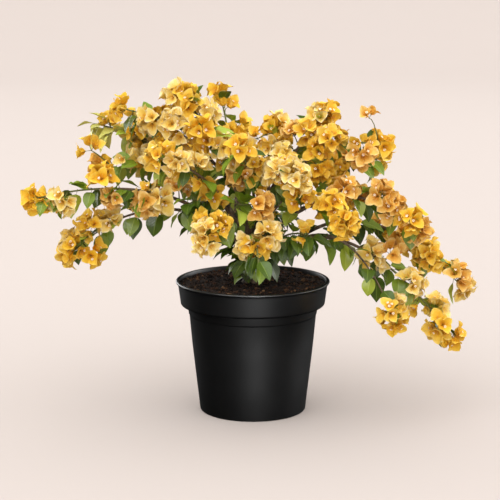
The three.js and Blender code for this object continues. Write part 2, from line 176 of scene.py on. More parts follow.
# Heads on longer twigs of their own. Cane, share of its length, place in millimetres, flowers
TWIG_HEADS = [
    ("left_trail", 0.9, (-300, -62, 352), 8),
    ("left_low", 0.8, (-262, -20, 308), 7),
    ("left_mid", 0.97, (-264, 0, 430), 3),
    ("left_low", 0.93, (-256, -18, 256), 4),
    ("inner_front", 0.85, (14, -98, 352), 8),
    ("front_low", 0.45, (24, -104, 308), 8),
    ("front_right", 0.32, (72, -80, 362), 6),
    ("right_mid", 0.57, (146, -60, 371), 6),
    ("front_right", 0.9, (142, -130, 328), 8),
    ("right_mid", 0.77, (205, -62, 368), 5),
    ("right_mid", 0.95, (247, -72, 324), 6),
    ("right_arch", 0.82, (172, -42, 420), 6),
    ("right_low", 0.82, (284, 10, 252), 8),
    ("right_trail", 0.62, (190, -45, 264), 4),
    ("right_hang", 0.95, (214, -98, 180), 6),
    ("right_trail", 0.97, (297, -60, 148), 6),
    ("right_arch", 0.37, (107, -26, 394), 8),
    ("centre_left", 0.68, (-48, -50, 439), 7),
    ("centre_top", 0.94, (2, 24, 440), 5),
    ("left_spray", 0.54, (-112, -22, 454), 6),
    ("inner_left", 0.56, (-63, -50, 359), 5),
    ("right_trail", 0.69, (223, -45, 269), 5),
    ("left_low", 0.97, (-283, -16, 271), 4),
]
# The same for the pair of faded flowers on a twig that arches over from the tip of its cane
ARCHED_HEAD = ("right_arch", 1, (180, -36, 488), 2)
ARCHED_LIFT = 22 * MM
ARCHED_SIZE = 0.75

# The flowers
BRACT_LENGTH = 25 * MM
BRACT_WIDTH = 0.36  # half of it, as a share of its length
BRACT_WIDEST = 0.45  # this far along
BRACT_BLUNT = 1.35
BRACT_ROWS = 9
BRACT_COLUMNS = 6
BUNCH_DEPTH = 15 * MM  # from where a bunch forks out to its middle
BUNCH_ROOM = 14 * MM  # past its middle, what has to lie in its own space
FORK_NEAREST = 4 * MM  # to its stem
PEDICEL = 8 * MM
TUBE_LENGTH = 15 * MM
TUBE_RADIUS = 1.0 * MM
TUBE_SIDES = 5
STAR_RADIUS = 2.8 * MM
STAR_LOBES = 5
OPEN_SHARE = 0.25  # of the tubes, the ones with an open star
HEAD_FLOWERS = 8  # in a full head
HEAD_SHARE = 0.75  # of the main bunches, the ones that are full heads
TIP_FLOWERS = 5  # in the head that ends a cane
TIP_SIZE = 0.9
HEAD_SPREAD = 1.35  # the widest angle from a head's middle to one of its flowers
HEAD_LIFT = 0.12
TWIG_RADIUS = 1.1 * MM
BUNCH_LIFT = 2 * MM  # of the middle of a twig, so that it arches
TWIG_HEAD_LIFT = 3 * MM
PEDICEL_RADIUS = 0.45 * MM

# The leaves
LEAF_WIDTH = 0.33  # half of it, as a share of its length
LEAF_WIDEST = 0.38
LEAF_BLUNT = 1.75
LEAF_ROWS = 9
LEAF_EDGES = np.array([-1, -0.72, -0.38, -0.055, 0.055, 0.38, 0.72, 1])  # across, the midrib in the middle
LEAF_MIDRIB = 3  # the column of faces that is the midrib
PETIOLE_SHARE = 0.17
PETIOLE_RADII = 0.5 * MM * np.array([1, 0.9, 0.8])
LEAF_BY_FLOWER = 0.6  # the chance of a leaf beside a flower
THORN_LENGTH = 7 * MM
THORN_RADII = np.array([0.9, 0.5, 0.08]) * MM


def lerp(low, high, share):
    return low + (high - low) * share


def unit(v):
    return v / np.linalg.norm(v)


def rotated(v, axis, angle):
    c, s = math.cos(angle), math.sin(angle)
    return v * c + np.cross(axis, v) * s + axis * (axis @ v) * (1 - c)


def side_of(v):
    """A level unit vector across v"""
    across = np.cross(v, UP)
    return unit(across) if np.linalg.norm(across) > 1e-6 else np.array([1.0, 0.0, 0.0])


class Seeded:
    """Numbers from 0 to 1, the same on every run, by the mulberry32 rule of the part's source"""

    WORD = 0xFFFFFFFF

    def __init__(self, seed):
        self.state = (seed * 2654435761) & self.WORD

    def __call__(self):
        self.state = (self.state + 0x6D2B79F5) & self.WORD
        mixed = ((self.state ^ (self.state >> 15)) * (self.state | 1)) & self.WORD
        mixed ^= (mixed + (mixed ^ (mixed >> 7)) * (mixed | 61)) & self.WORD
        return (mixed ^ (mixed >> 14)) / 2**32

    def between(self, low, high):
        return lerp(low, high, self())


# Materials

def base_colour(screen):
    """A base colour from its screen values, 0 to 255"""
    values = [c / 255 for c in screen]
    return *(((v + 0.055) / 1.055) ** 2.4 if v > 0.04 else v / 12.92 for v in values), 1.0


def new_material(name, colour, roughness, specular):
    made = bpy.data.materials.new(name)
    made.use_nodes = True
    shader = made.node_tree.nodes["Principled BSDF"]
    shader.inputs["Base Color"].default_value = base_colour(colour)
    shader.inputs["Roughness"].default_value = roughness
    shader.inputs["Specular IOR Level"].default_value = specular
    return made, made.node_tree, shader


def node(tree, kind, **settings):
    made = tree.nodes.new(kind)
    for name, value in settings.items():
        if name in made.inputs:
            made.inputs[name].default_value = value
        else:
            setattr(made, name, value)
    return made


def noise_node(tree, scale, detail=4.0, stretch=None):
    """Noise that lies in the object's own space, with about scale patches to the metre"""
    made = node(tree, "ShaderNodeTexNoise", Scale=scale, Detail=detail)
    coordinates = node(tree, "ShaderNodeTexCoord").outputs["Object"]
    if stretch:
        mapping = node(tree, "ShaderNodeMapping", Scale=stretch)
        tree.links.new(coordinates, mapping.inputs["Vector"])
        coordinates = mapping.outputs["Vector"]
    tree.links.new(coordinates, made.inputs["Vector"])
    return made.outputs["Fac"]


def spread(tree, value, low, high):
    """value, from 0 to 1, mapped to low to high"""
    made = node(tree, "ShaderNodeMapRange", **{"To Min": low, "To Max": high})
    tree.links.new(value, made.inputs["Value"])
    return made.outputs["Result"]


def math_node(tree, operation, *values):
    """What an operation makes of its values, each a socket or a number"""
    made = node(tree, "ShaderNodeMath", operation=operation)
    for socket, value in zip(made.inputs, values):
        if isinstance(value, bpy.types.NodeSocket):
            tree.links.new(value, socket)
        else:
            socket.default_value = value
    return made.outputs[0]


def ramped(tree, value, low, high, dark, light):
    """The colour that goes from dark to light as value goes from low to high"""
    ramp = node(tree, "ShaderNodeValToRGB")
    for stop, position, colour in zip(ramp.color_ramp.elements, (low, high), (dark, light)):
        stop.position = position
        stop.color = base_colour(colour)
    tree.links.new(value, ramp.inputs["Fac"])
    return ramp.outputs["Color"]


def bumped(tree, shader, height, strength, distance):
    bump = node(tree, "ShaderNodeBump", Strength=strength, Distance=distance)
    tree.links.new(height, bump.inputs["Height"])
    tree.links.new(bump.outputs["Normal"], shader.inputs["Normal"])


VEIN_NET = 2.2  # cells of the fine net for each side vein
VEIN_SHARPNESS = 6


def veined_material(name, colour, roughness, specular, veins, relief):
    """A leaf's or bract's finish: side veins that sweep out from the midrib, over a fine net"""
    made, tree, shader = new_material(name, colour, roughness, specular)
    uv = node(tree, "ShaderNodeUVMap", uv_map="UVMap").outputs["UV"]
    parts = node(tree, "ShaderNodeSeparateXYZ")
    tree.links.new(uv, parts.inputs["Vector"])
    from_midrib = math_node(tree, "ABSOLUTE", math_node(tree, "SUBTRACT", parts.outputs["Y"], 0.5))
    swept = math_node(tree, "SUBTRACT", parts.outputs["X"], from_midrib)
    waves = math_node(tree, "SINE", math_node(tree, "MULTIPLY", swept, veins * math.tau))
    lifted = spread(tree, waves, 0, 1)
    lifted.node.inputs["From Min"].default_value = -1
    net = node(tree, "ShaderNodeTexVoronoi", feature="DISTANCE_TO_EDGE", Scale=veins * VEIN_NET)
    tree.links.new(uv, net.inputs["Vector"])
    grooves = math_node(tree, "POWER", lifted, VEIN_SHARPNESS)
    height = math_node(tree, "SUBTRACT", net.outputs["Distance"], grooves)
    bumped(tree, shader, height, strength=relief, distance=0.4 * MM)
    patches = noise_node(tree, 160)
    tree.links.new(spread(tree, patches, roughness - 0.1, roughness + 0.1), shader.inputs["Roughness"])
    return made


def twig_material(name, colour, roughness):
    made, tree, shader = new_material(name, colour, roughness, specular=0.3)
    grain = noise_node(tree, 900, detail=3)
    bumped(tree, shader, grain, strength=0.5, distance=0.3 * MM)
    tree.links.new(spread(tree, grain, roughness - 0.1, roughness + 0.12), shader.inputs["Roughness"])
    return made


# From the gold at a flower's throat to the pale rim of old bracts, then the tan of faded ones. The deep
# throat is partly the bract's own colour and partly painted shade deep in the bunch; the pale rim is partly
# its own colour and partly a painted glow of light through the thin bract.
BRACT_COLOURS = [
    (236, 175, 22), (239, 186, 34), (241, 195, 50), (243, 203, 72),
    (245, 211, 98), (246, 219, 128), (247, 227, 160), (248, 234, 190),
    (222, 158, 46), (231, 174, 66), (238, 190, 90), (244, 204, 118), (248, 218, 150),
]
TINT_STARTS = [0, 1, 3, 8]  # where the deep, golden, light and tan ones start in that list
TINT_COLOURS = 5
LIGHT, TAN = 2, 3
TINT_SPREAD = 3.2  # 3 would deal them out evenly, and more gives more light ones
FADED = 0.05  # the chance of tan flowers
FADED_FAR_RIGHT = 0.22
FAR_RIGHT = ("right_mid", "front_right", "right_low")
bract_materials = [
    veined_material(f"bract_{i}", colour, roughness=0.65, specular=0.25, veins=9, relief=0.45)
    for i, colour in enumerate(BRACT_COLOURS)
]

# Leaf greens. Dealt at random, dark and bright ones are the leaves' own tone; on the inner canes deep in the
# crown the dark ones are painted shade, and on the front inner cane the bright ones are painted light.
DARK_OR_SHADED, MID, BRIGHT_OR_LIT, YOUNG = range(4)
LEAF_COLOURS = [(76, 104, 14), (124, 152, 32), (172, 192, 62), (206, 204, 104)]
MIDRIB_COLOURS = [(116, 142, 48), (152, 176, 64), (188, 206, 90), (216, 216, 126)]
leaf_materials = [
    veined_material(f"leaf_{i}", colour, roughness=0.42, specular=0.5, veins=7, relief=0.45)
    for i, colour in enumerate(LEAF_COLOURS + MIDRIB_COLOURS)
]

TUBE_GREEN, TUBE_GOLD, STAR_CREAM = range(3)
tube_materials = [
    twig_material("flower_tube_green", (176, 160, 60), roughness=0.6),
    twig_material("flower_tube_gold", (232, 178, 74), roughness=0.6),
    twig_material("flower_star", (255, 248, 226), roughness=0.6),
]

STEM_BROWN, STEM_GREEN, THORN = range(3)
stem_materials = [
    twig_material("stem_brown", (112, 92, 70), roughness=0.8),
    twig_material("stem_green", (112, 118, 60), roughness=0.65),
    twig_material("thorn", (78, 62, 44), roughness=0.6),
]


# Meshes

def fan_faces(first, second, tip):
    """Triangles from each pair of points to one more"""
    return np.stack([first, second, np.full(len(first), tip), np.full(len(first), -1)], axis=1)


def grid_faces(rows, columns):
    """Four corners of each face of a grid of rows by columns faces"""
    first = (np.arange(rows)[:, None] * (columns + 1) + np.arange(columns)).reshape(-1)
    return np.stack([first, first + 1, first + columns + 2, first + columns + 1], axis=1)


def ring_faces(rings, sides):
    """The same for rings of points that close on themselves, with a fan to a last point at each end"""
    here = np.arange(sides)
    after = (here + 1) % sides
    faces = []
    for ring in range(rings - 1):
        low, high = ring * sides, (ring + 1) * sides
        faces.append(np.stack([low + here, low + after, high + after, high + here], axis=1))
    last = (rings - 1) * sides
    faces.append(fan_faces(after, here, rings * sides))
    faces.append(fan_faces(last + here, last + after, rings * sides + 1))
    return np.concatenate(faces)


def placed(name, data):
    made = bpy.data.objects.new(name, data)
    scene.collection.objects.link(made)
    return made


def mesh_object(name, points, faces, slots, uv, materials):
    """A smooth mesh. A face's fourth corner is -1 where it is a triangle."""
    mesh = bpy.data.meshes.new(name)
    corners = faces[faces >= 0]
    sides = np.where(faces[:, 3] < 0, 3, 4)
    mesh.vertices.add(len(points))
    mesh.vertices.foreach_set("co", np.asarray(points, np.float32).reshape(-1))
    mesh.loops.add(len(corners))
    mesh.loops.foreach_set("vertex_index", corners.astype(np.int32))
    mesh.polygons.add(len(faces))
    mesh.polygons.foreach_set("loop_start", (np.cumsum(sides) - sides).astype(np.int32))
    mesh.polygons.foreach_set("material_index", slots.astype(np.int32))
    mesh.update(calc_edges=True)
    mesh.shade_smooth()
    if uv is not None:
        layer = mesh.uv_layers.new(name="UVMap")
        layer.data.foreach_set("uv", np.asarray(uv, np.float32)[corners].reshape(-1))
    for material in materials:
        mesh.materials.append(material)
    return placed(name, mesh)


class Joined:
    """Many small surfaces of one kind, joined into pieces under the limit of triangles"""

    def __init__(self, name, materials):
        self.name = name
        self.materials = materials
        self.parts = []

    def add(self, points, faces, slots, uv=None):
        uv = np.zeros((len(points), 2)) if uv is None else uv
        self.parts.append((points, faces, np.broadcast_to(slots, len(faces)), uv))

    def pieces(self):
        groups = [[]]
        room = TRIANGLE_LIMIT
        for part in self.parts:
            triangles = int(np.where(part[1][:, 3] < 0, 1, 2).sum())
            if triangles > room:
                groups.append([])
                room = TRIANGLE_LIMIT
            groups[-1].append(part)
            room -= triangles
        return [self.piece(f"{self.name}_{i + 1}", group) for i, group in enumerate(groups)]

    def piece(self, name, group):
        starts = np.cumsum([0] + [len(part[0]) for part in group])
        faces = [np.where(part[1] < 0, -1, part[1] + start) for part, start in zip(group, starts)]
        points, _, slots, uv = zip(*group)
        points, faces, slots, uv = (np.concatenate(each) for each in (points, faces, slots, uv))
        return mesh_object(name, points, faces, slots, uv, self.materials)


def tube_points(points, radii, sides):
    """Rings of points round a line, and its two ends. radii holds one radius a ring, or one a point."""
    points = np.asarray(points, float)
    along = np.gradient(points, axis=0)
    along /= np.linalg.norm(along, axis=1)[:, None]
    reference = np.array([0.0, 1.0, 0.0]) if abs(along[0, 2]) > 0.9 else UP
    across = np.cross(along, reference)
    across /= np.linalg.norm(across, axis=1)[:, None]
    over = np.cross(along, across)
    turn = np.arange(sides) * math.tau / sides
    radii = np.asarray(radii, float)
    radii = radii[:, None] if radii.ndim == 1 else radii
    out = np.cos(turn)[:, None] * across[:, None, :] + np.sin(turn)[:, None] * over[:, None, :]
    rings = points[:, None, :] + out * radii[..., None]
    return np.concatenate([rings.reshape(-1, 3), points[:1], points[-1:]])


def add_tube(joined, points, radii, sides, slot):
    joined.add(tube_points(points, radii, sides), ring_faces(len(points), sides), slot)


# The canes

class Curve:
    """A quadratic Bezier curve"""

    def __init__(self, root, guide, tip):
        self.ends = (np.asarray(root, float), np.asarray(guide, float), np.asarray(tip, float))
        steps = self.points(np.linspace(0, 1, LENGTH_STEPS + 1))
        self.length = np.linalg.norm(np.diff(steps, axis=0), axis=1).sum()

    def points(self, t):
        root, guide, tip = self.ends
        t = np.asarray(t, float)[..., None]
        return root * (1 - t) ** 2 + guide * 2 * t * (1 - t) + tip * t**2

    def along(self, t):
        root, guide, tip = self.ends
        return unit((guide - root) * (1 - t) + (tip - guide) * t)


class Cane:
    """One cane: its curve, its bough up to the share `bare`, and the stem of its mass from `start`"""

    def __init__(self, name, curve, radius, bare, bloom, number):
        self.name = name
        self.curve = curve
        self.radius = radius
        self.bare = bare
        self.bloom = bloom
        self.number = number
        self.start = bare + GAP / curve.length if bare else 0.0
        self.line = curve.points(np.linspace(self.start, 1, LINE_STEPS + 1))

    def radius_at(self, t):
        return lerp(self.radius, CANE_TIP_RADIUS, np.clip(t, 0, 1) ** CANE_TAPER)


soil_top = POT_HEIGHT - SOIL_DROP
trunk_foot = np.array([0, 0, soil_top + GAP])
trunk_curve = Curve(
    trunk_foot, trunk_foot + UP * TRUNK_HEIGHT / 2, trunk_foot + UP * TRUNK_HEIGHT + TRUNK_LEAN
)


def trunk_radius(t):
    return lerp(TRUNK_FOOT_RADIUS, TRUNK_TOP_RADIUS, t) + FLARE * np.exp(-t * TRUNK_HEIGHT / FLARE_REACH)


canes = {}


def add_cane(name, parent, at, radius, tip, lean, crest, bare, bloom):
    root = (canes[parent].curve if parent in canes else trunk_curve).points(at)
    end = np.array(tip) * MM
    guide = lerp(root, end, lean)
    guide[2] = crest * MM
    canes[name] = Cane(name, Curve(root, guide, end), radius, bare, bloom, len(canes) + 1)


for name, parent, at, radius, *rest in BOUGHED:
    add_cane(name, parent, at, radius * MM, *rest)
for name, at, tip, crest, bloom in INNER:
    add_cane(name, "trunk", at, INNER_RADIUS, tip, INNER_LEAN, crest, 0, bloom)

line_starts = np.stack([cane.line[:-1] for cane in canes.values()])
line_steps = np.stack([np.diff(cane.line, axis=0) for cane in canes.values()])


def is_off_the_pot(point):
    x, y, z = point
    return z > POT_HEIGHT + POT_CLEARANCE or math.hypot(x, y) > LIP_RADIUS + POT_CLEARANCE


def keeps_to_space(points, cane):
    """Whether points lie near the stem of their own mass, nearer to it than to any other, and off the pot"""
    if not all(is_off_the_pot(point) for point in points):
        return False
    offset = np.asarray(points)[:, None, None, :] - line_starts
    share = (offset * line_steps).sum(-1) / (line_steps**2).sum(-1)
    nearest = offset - np.clip(share, 0, 1)[..., None] * line_steps
    distance = np.linalg.norm(nearest, axis=-1).min(-1)
    own = distance[:, cane.number - 1]
    return bool((own < SPACE_RADIUS).all() and (distance.argmin(1) == cane.number - 1).all())


# Leaves and flowers

stems = Joined("stems", stem_materials)
leaves = Joined("leaves", leaf_materials)
bracts = Joined("bracts", bract_materials)
tubes = Joined("flower_tubes", tube_materials)


def blade_outline(share, widest, blunt):
    """Half-widths along a pointed blade, from 0 to 1 at its widest"""
    rise = widest * blunt
    fall = (1 - widest) * blunt
    peak = widest**rise * (1 - widest) ** fall
    return np.maximum(share**rise * (1 - share) ** fall / peak, 0.03)


def add_blade(joined, centres, across, normals, half_widths, edges, lift, slots):
    """A blade as a grid: a row of points across it at each centre, lifted along its normals"""
    sideways = (half_widths[:, None] * edges)[..., None] * across
    points = centres[:, None, :] + sideways + lift[..., None] * normals[:, None, :]
    rows, columns = len(centres) - 1, len(edges) - 1
    along = np.linspace(0, 1, rows + 1)
    uv = np.stack(np.broadcast_arrays(along[:, None], (edges[None, :] + 1) / 2), axis=-1)
    joined.add(points.reshape(-1, 3), grid_faces(rows, columns), slots, uv.reshape(-1, 2))


def bent_line(root, first, normal, turns, length):
    """Points from root that start along first and turn away from normal by the angles, with their normals"""
    angles = np.asarray(turns)
    middles = (angles[1:] + angles[:-1]) / 2
    step = length / len(middles)
    steps = first * np.cos(middles)[:, None] - normal * np.sin(middles)[:, None]
    points = root + step * np.concatenate([np.zeros((1, 3)), np.cumsum(steps, axis=0)])
    normals = normal * np.cos(angles)[:, None] + first * np.sin(angles)[:, None]
    return points, normals


LEAF_SHARES = np.linspace(0, 1, LEAF_ROWS + 1)
LEAF_OUTLINE = blade_outline(LEAF_SHARES, LEAF_WIDEST, LEAF_BLUNT)


def add_leaf(root, towards, length, kind, random):
    """A leaf on its petiole, folded along the midrib and hanging a little more towards its tip"""
    across = rotated(side_of(towards), towards, random.between(-0.6, 0.6))
    face = np.cross(across, towards)
    petiole = length * PETIOLE_SHARE
    foot = root + towards * petiole
    line = [root, root + towards * petiole / 2 + UP * MM, foot + towards * MM]
    add_tube(stems, line, PETIOLE_RADII, 4, STEM_GREEN)
    blade = length - petiole
    turns = lerp(random.between(-0.25, 0.1), random.between(0.35, 0.9), LEAF_SHARES)
    centres, normals = bent_line(foot, towards, face, turns, blade)
    half = LEAF_OUTLINE * blade * LEAF_WIDTH * random.between(0.9, 1.12)
    fold = random.between(0.12, 0.4)
    wave = np.sin(LEAF_SHARES[:, None] * random.between(9, 14) + np.sign(LEAF_EDGES) * random() * 3)
    lift = half[:, None] * (fold * np.abs(LEAF_EDGES) + 0.1 * wave * LEAF_EDGES**2)
    slots = np.full((LEAF_ROWS, len(LEAF_EDGES) - 1), kind)
    slots[:, LEAF_MIDRIB] += len(LEAF_COLOURS)
    add_blade(leaves, centres, across, normals, half, LEAF_EDGES, lift, slots.reshape(-1))


BRACT_SHARES = np.linspace(0, 1, BRACT_ROWS + 1)
BRACT_EDGES = np.linspace(-1, 1, BRACT_COLUMNS + 1)
BRACT_OUTLINE = blade_outline(BRACT_SHARES, BRACT_WIDEST, BRACT_BLUNT)
ROW_MIDDLES = (BRACT_SHARES[1:] + BRACT_SHARES[:-1])[:, None] / 2
COLUMN_MIDDLES = (BRACT_EDGES[1:] + BRACT_EDGES[:-1]) / 2
# Low at the throat and high towards the tip and rim, picking deeper or paler colours: partly the bract's own
# colour, partly painted shade deep in the bunch and a painted glow of light through the thin rim
BRACT_TONE_AND_PAINTED_LIGHT = 0.12 + 0.5 * ROW_MIDDLES**1.5 + 0.42 * np.abs(COLUMN_MIDDLES) ** 2.2


def add_bract(base, axis, out, length, opening, tint, random):
    """One papery bract, cupped round the axis of its flower and wavy at its rim"""
    across = np.cross(axis, out)
    start = random.between(0.15, 0.35)
    turns = lerp(start, start + opening, BRACT_SHARES)
    centres, normals = bent_line(base, axis, -out, turns, length)
    half = BRACT_OUTLINE * length * BRACT_WIDTH * random.between(0.92, 1.1)
    waves = random.between(7, 13)
    phases = np.where(BRACT_EDGES < 0, random() * 6, random() * 6)
    ruffle = np.sin(BRACT_SHARES[:, None] * waves + phases) * np.abs(BRACT_EDGES) ** 1.5
    cup = random.between(0.12, 0.42)
    crumple = random.between(0.16, 0.34)
    lift = half[:, None] * (cup * BRACT_EDGES**2 + 0.06 * np.abs(BRACT_EDGES) + crumple * ruffle)
    # Painted shade at the throat and a painted glow of light at the rim, over the bract's own deeper base
    # and paler rim
    tone_and_light = BRACT_TONE_AND_PAINTED_LIGHT + random.between(-0.1, 0.12)
    slots = TINT_STARTS[tint] + np.clip(tone_and_light * TINT_COLOURS, 0, TINT_COLOURS - 0.01).astype(int)
    add_blade(bracts, centres, across, normals, half, BRACT_EDGES, lift, slots.reshape(-1))


def add_flower_tube(base, axis, lean, length, is_open, random):
    """The small true flower inside a bract: a waisted tube, closed or with an open star"""
    top = base + unit(axis + lean) * length
    middle = lerp(base, top, 0.5) + lean * MM
    line = Curve(base, middle, top).points(np.linspace(0, 1, 4))
    shape = np.array([1, 0.7, 0.75, 1.15 if is_open else 0.5])
    slots = np.repeat([TUBE_GREEN, TUBE_GOLD], [TUBE_SIDES, TUBE_SIDES * 4])
    add_tube(tubes, line, shape * TUBE_RADIUS, TUBE_SIDES, slots)
    if not is_open:
        return
    facing = unit(line[-1] - line[-2])
    across = side_of(facing)
    over = np.cross(facing, across)
    here = np.arange(STAR_LOBES * 2)
    turn = here * math.pi / STAR_LOBES + random() * 2
    reach = np.where(here % 2, 0.55, 1.0) * STAR_RADIUS
    rise = np.where(here % 2, 0.1, 0.35) * STAR_RADIUS
    out = np.cos(turn)[:, None] * across + np.sin(turn)[:, None] * over
    rim = top + reach[:, None] * out + rise[:, None] * facing
    points = np.concatenate([rim, [top - facing * 0.4 * MM]])
    tubes.add(points, fan_faces(here, (here + 1) % len(here), len(here)), STAR_CREAM)


def add_flower(base, axis, size, tint, random):
    """Three bracts round three tubes"""
    across = side_of(axis)
    opening = random.between(0.55, 1.25)
    first = random() * math.tau
    for k in range(3):
        turn = first + k * math.tau / 3 + random.between(-0.15, 0.15)
        out = rotated(across, axis, turn)
        length = BRACT_LENGTH * size * random.between(0.88, 1.1)
        add_bract(base, axis, out, length, opening + random.between(-0.15, 0.15), tint, random)
        tube_length = TUBE_LENGTH * size * random.between(0.75, 1)
        add_flower_tube(base, axis, out * 0.3, tube_length, random() < OPEN_SHARE, random)


def add_twig(root, end, lift, radius):
    """A thin twig that rises a little on its way"""
    middle = lerp(root, end, 0.5) + UP * lift
    line = Curve(root, middle, end).points(np.linspace(0, 1, 5))
    add_tube(stems, line, radius * np.linspace(1.25, 0.75, 5), 5, STEM_GREEN)


def add_bunch(root, towards, reach, size, count, tint, random, lift=BUNCH_LIFT):
    """A twig that ends in a few flowers, which face out round it"""
    fork = root + towards * max(reach - BUNCH_DEPTH, FORK_NEAREST)
    add_twig(root, fork, lift, TWIG_RADIUS * size)
    across = side_of(towards)
    first = random() * math.tau
    for k in range(count):
        tilt = math.acos(lerp(1, math.cos(HEAD_SPREAD), (k + 0.5) / count)) + random.between(-0.15, 0.15)
        out = rotated(across, towards, first + k * GOLDEN_ANGLE)
        axis = unit(towards * math.cos(tilt) + out * math.sin(tilt) + UP * HEAD_LIFT)
        base = fork + axis * PEDICEL * size * random.between(0.8, 1.2)
        add_twig(fork, base, 0, PEDICEL_RADIUS)
        add_flower(base, axis, size * random.between(0.85, 1.08), tint, random)


def add_thorn(root, towards, length):
    tip = root + towards * length
    line = [root, lerp(root, tip, 0.5) + UP * 0.4 * MM, tip - UP * 0.8 * MM]
    add_tube(stems, line, THORN_RADII, 5, THORN)


def bract_tint(cane, random):
    """Deep, golden, light or tan: more of the flowers on the far right have faded"""
    draw = random()
    faded = FADED_FAR_RIGHT if cane.name in FAR_RIGHT else FADED
    if draw < faded:
        return TAN
    return min(int((draw - faded) / (1 - faded) * TINT_SPREAD), LIGHT)


def leaf_kind(cane, share, random):
    draw = random()
    if cane.name == "left_high" and share > 0.7:
        return YOUNG
    # The inner canes lie deep in the crown: their mostly dark leaves are painted shade, and the bright ones
    # of the front inner cane are painted light
    if cane.name == "inner_front":
        return BRIGHT_OR_LIT if draw < 0.5 else MID
    if cane.name.startswith("inner"):
        return DARK_OR_SHADED if draw < 0.6 else MID
    if draw < 0.3:
        return DARK_OR_SHADED
    return MID if draw < 0.8 else BRIGHT_OR_LIT


def leaves_wanted(cane, blooms, is_main, random):
    if cane.bloom < LEAFY_TIP:
        return 4 if is_main else 2
    if blooms:
        return int(random() < LEAF_BY_FLOWER)
    return 2 if is_main else 1


def grow_mass(cane):
    """The stem of a mass, with its twigs, flowers and leaves"""
    curve, start = cane.curve, cane.start
    shares = np.linspace(max(start - 0.01, 0), 1, STEM_POINTS)
    wobble = [[noise.noise(Vector((cane.number, s * 9, k * 7.3))) for k in range(3)] for s in shares]
    line = curve.points(shares) + np.array(wobble) * MM * np.minimum((shares - shares[0]) * 10, 1)[:, None]
    slots = np.where(shares < lerp(start, 1, BROWN_SHARE), STEM_BROWN, STEM_GREEN)[:-1]
    slots = np.repeat([*slots, slots[0], slots[-1]], STEM_SIDES)
    add_tube(stems, line, cane.radius_at(shares), STEM_SIDES, slots)

    count = int(curve.length * (1 - start) / NODE_SPACING + 0.5)
    for i in range(count):
        main_turn = cane.number + i * GOLDEN_ANGLE
        fine_turn = cane.number + (i - 0.4) * GOLDEN_ANGLE
        grow_node(cane, (i + 0.5) / count, main_turn, Seeded(cane.number * SEEDS + i), True)
        grow_node(cane, i / count, fine_turn, Seeded((cane.number + FINE_SEEDS) * SEEDS + i), False)
    if cane.bloom > LEAFY_TIP:
        random = Seeded((cane.number + 1) * SEEDS - 1)
        tint = bract_tint(cane, random)
        add_bunch(curve.points(1), curve.along(1), TWIG_SHORTEST, TIP_SIZE, TIP_FLOWERS, tint, random)


def dress_bough(cane):
    """A few leaves along the bare part of a cane, where it runs through the crown"""
    random = Seeded((cane.number + BARE_SEEDS) * SEEDS)
    count = int(cane.curve.length * cane.bare * (1 - BARE_SHARE) / BARE_SPACING)
    for i in range(count):
        t = cane.bare * lerp(BARE_SHARE, 1, (i + 0.5) / count)
        root, along = cane.curve.points(t), cane.curve.along(t)
        towards = unit(rotated(side_of(along), along, i * GOLDEN_ANGLE) + along * LEAF_FORWARD)
        hanging = unit(towards - UP * LEAF_DROOP * random.between(-0.2, 0.9))
        length = LEAF_LENGTH * random.between(0.6, 0.95)
        if is_off_the_pot(root + hanging * length):
            add_leaf(root, hanging, length, leaf_kind(cane, 0, random), random)


def grow_node(cane, share, first, random, is_main):
    """One place on a stem. A main one is in the part's source too, and the finer ones lie between them."""
    t = lerp(cane.start, 1, share)
    root, along = cane.curve.points(t), cane.curve.along(t)
    across = side_of(along)

    def aimed(turn, forward, lift):
        return unit(rotated(across, along, turn) + along * forward + UP * lift)

    reach = lerp(TWIG_LONGEST, TWIG_SHORTEST, share) * random.between(0.6, 1.2)
    bloom = cane.bloom if is_main else cane.bloom * FINE_BLOOM
    blooms = share > LEAFY_SHARE and random() < bloom
    if is_main and int(share * 100) in LEAFY_PLACES.get(cane.name, ()):
        blooms = False
    if blooms:
        reach *= 1 if is_main else FINE_SIZE
        size = random.between(0.85, 1.05) if is_main else random.between(0.7, 0.9)
        flowers = (HEAD_FLOWERS if random() < HEAD_SHARE else 2) if is_main else 1
        tint = bract_tint(cane, random)
        for attempt in range(ATTEMPTS):
            towards = aimed(first + attempt * FLOWER_TURN, FLOWER_FORWARD, FLOWER_LIFT)
            if keeps_to_space([root + towards * reach, root + towards * (reach + BUNCH_ROOM)], cane):
                add_bunch(root, towards, reach, size, flowers, tint, random)
                break
    wanted = leaves_wanted(cane, blooms, is_main, random)
    for attempt in range(ATTEMPTS):
        towards = aimed(first + LEAF_LAG + attempt * LEAF_TURN, LEAF_FORWARD, 0)
        droop = random.between(0.3, 1.4) if is_main else random.between(-0.4, 1)
        hanging = unit(towards - UP * LEAF_DROOP * droop)
        length = LEAF_LENGTH * random.between(0.7, 1.1) * (1 if is_main else FINE_LEAF)
        kind = leaf_kind(cane, share, random)
        if wanted and keeps_to_space([root + hanging * length], cane):
            add_leaf(root, hanging, length, kind, random)
            wanted -= 1
    if is_main:
        add_thorn(root, aimed(first + math.pi, 0.2, 0.1), THORN_LENGTH * random.between(0.6, 1.2))


def add_twig_head(place, seed, tint=None, size=1, lift=TWIG_HEAD_LIFT):
    """A head on a twig of its own"""
    name, share, end, flowers = place
    random = Seeded(seed)
    root = canes[name].curve.points(share)
    towards = np.array(end) * MM - root
    reach = np.linalg.norm(towards) + BUNCH_DEPTH / 2
    tint = bract_tint(canes[name], random) if tint is None else tint
    add_bunch(root, unit(towards), reach, size, flowers, tint, random, lift)


for i, place in enumerate(TWIG_HEADS):
    add_twig_head(place, TWIG_SEEDS + i)
add_twig_head(ARCHED_HEAD, TWIG_SEEDS - 1, TAN, ARCHED_SIZE, ARCHED_LIFT)

for cane in canes.values():
    grow_mass(cane)
    if cane.bare:
        dress_bough(cane)


# Trunk and boughs, with the relief of their bark

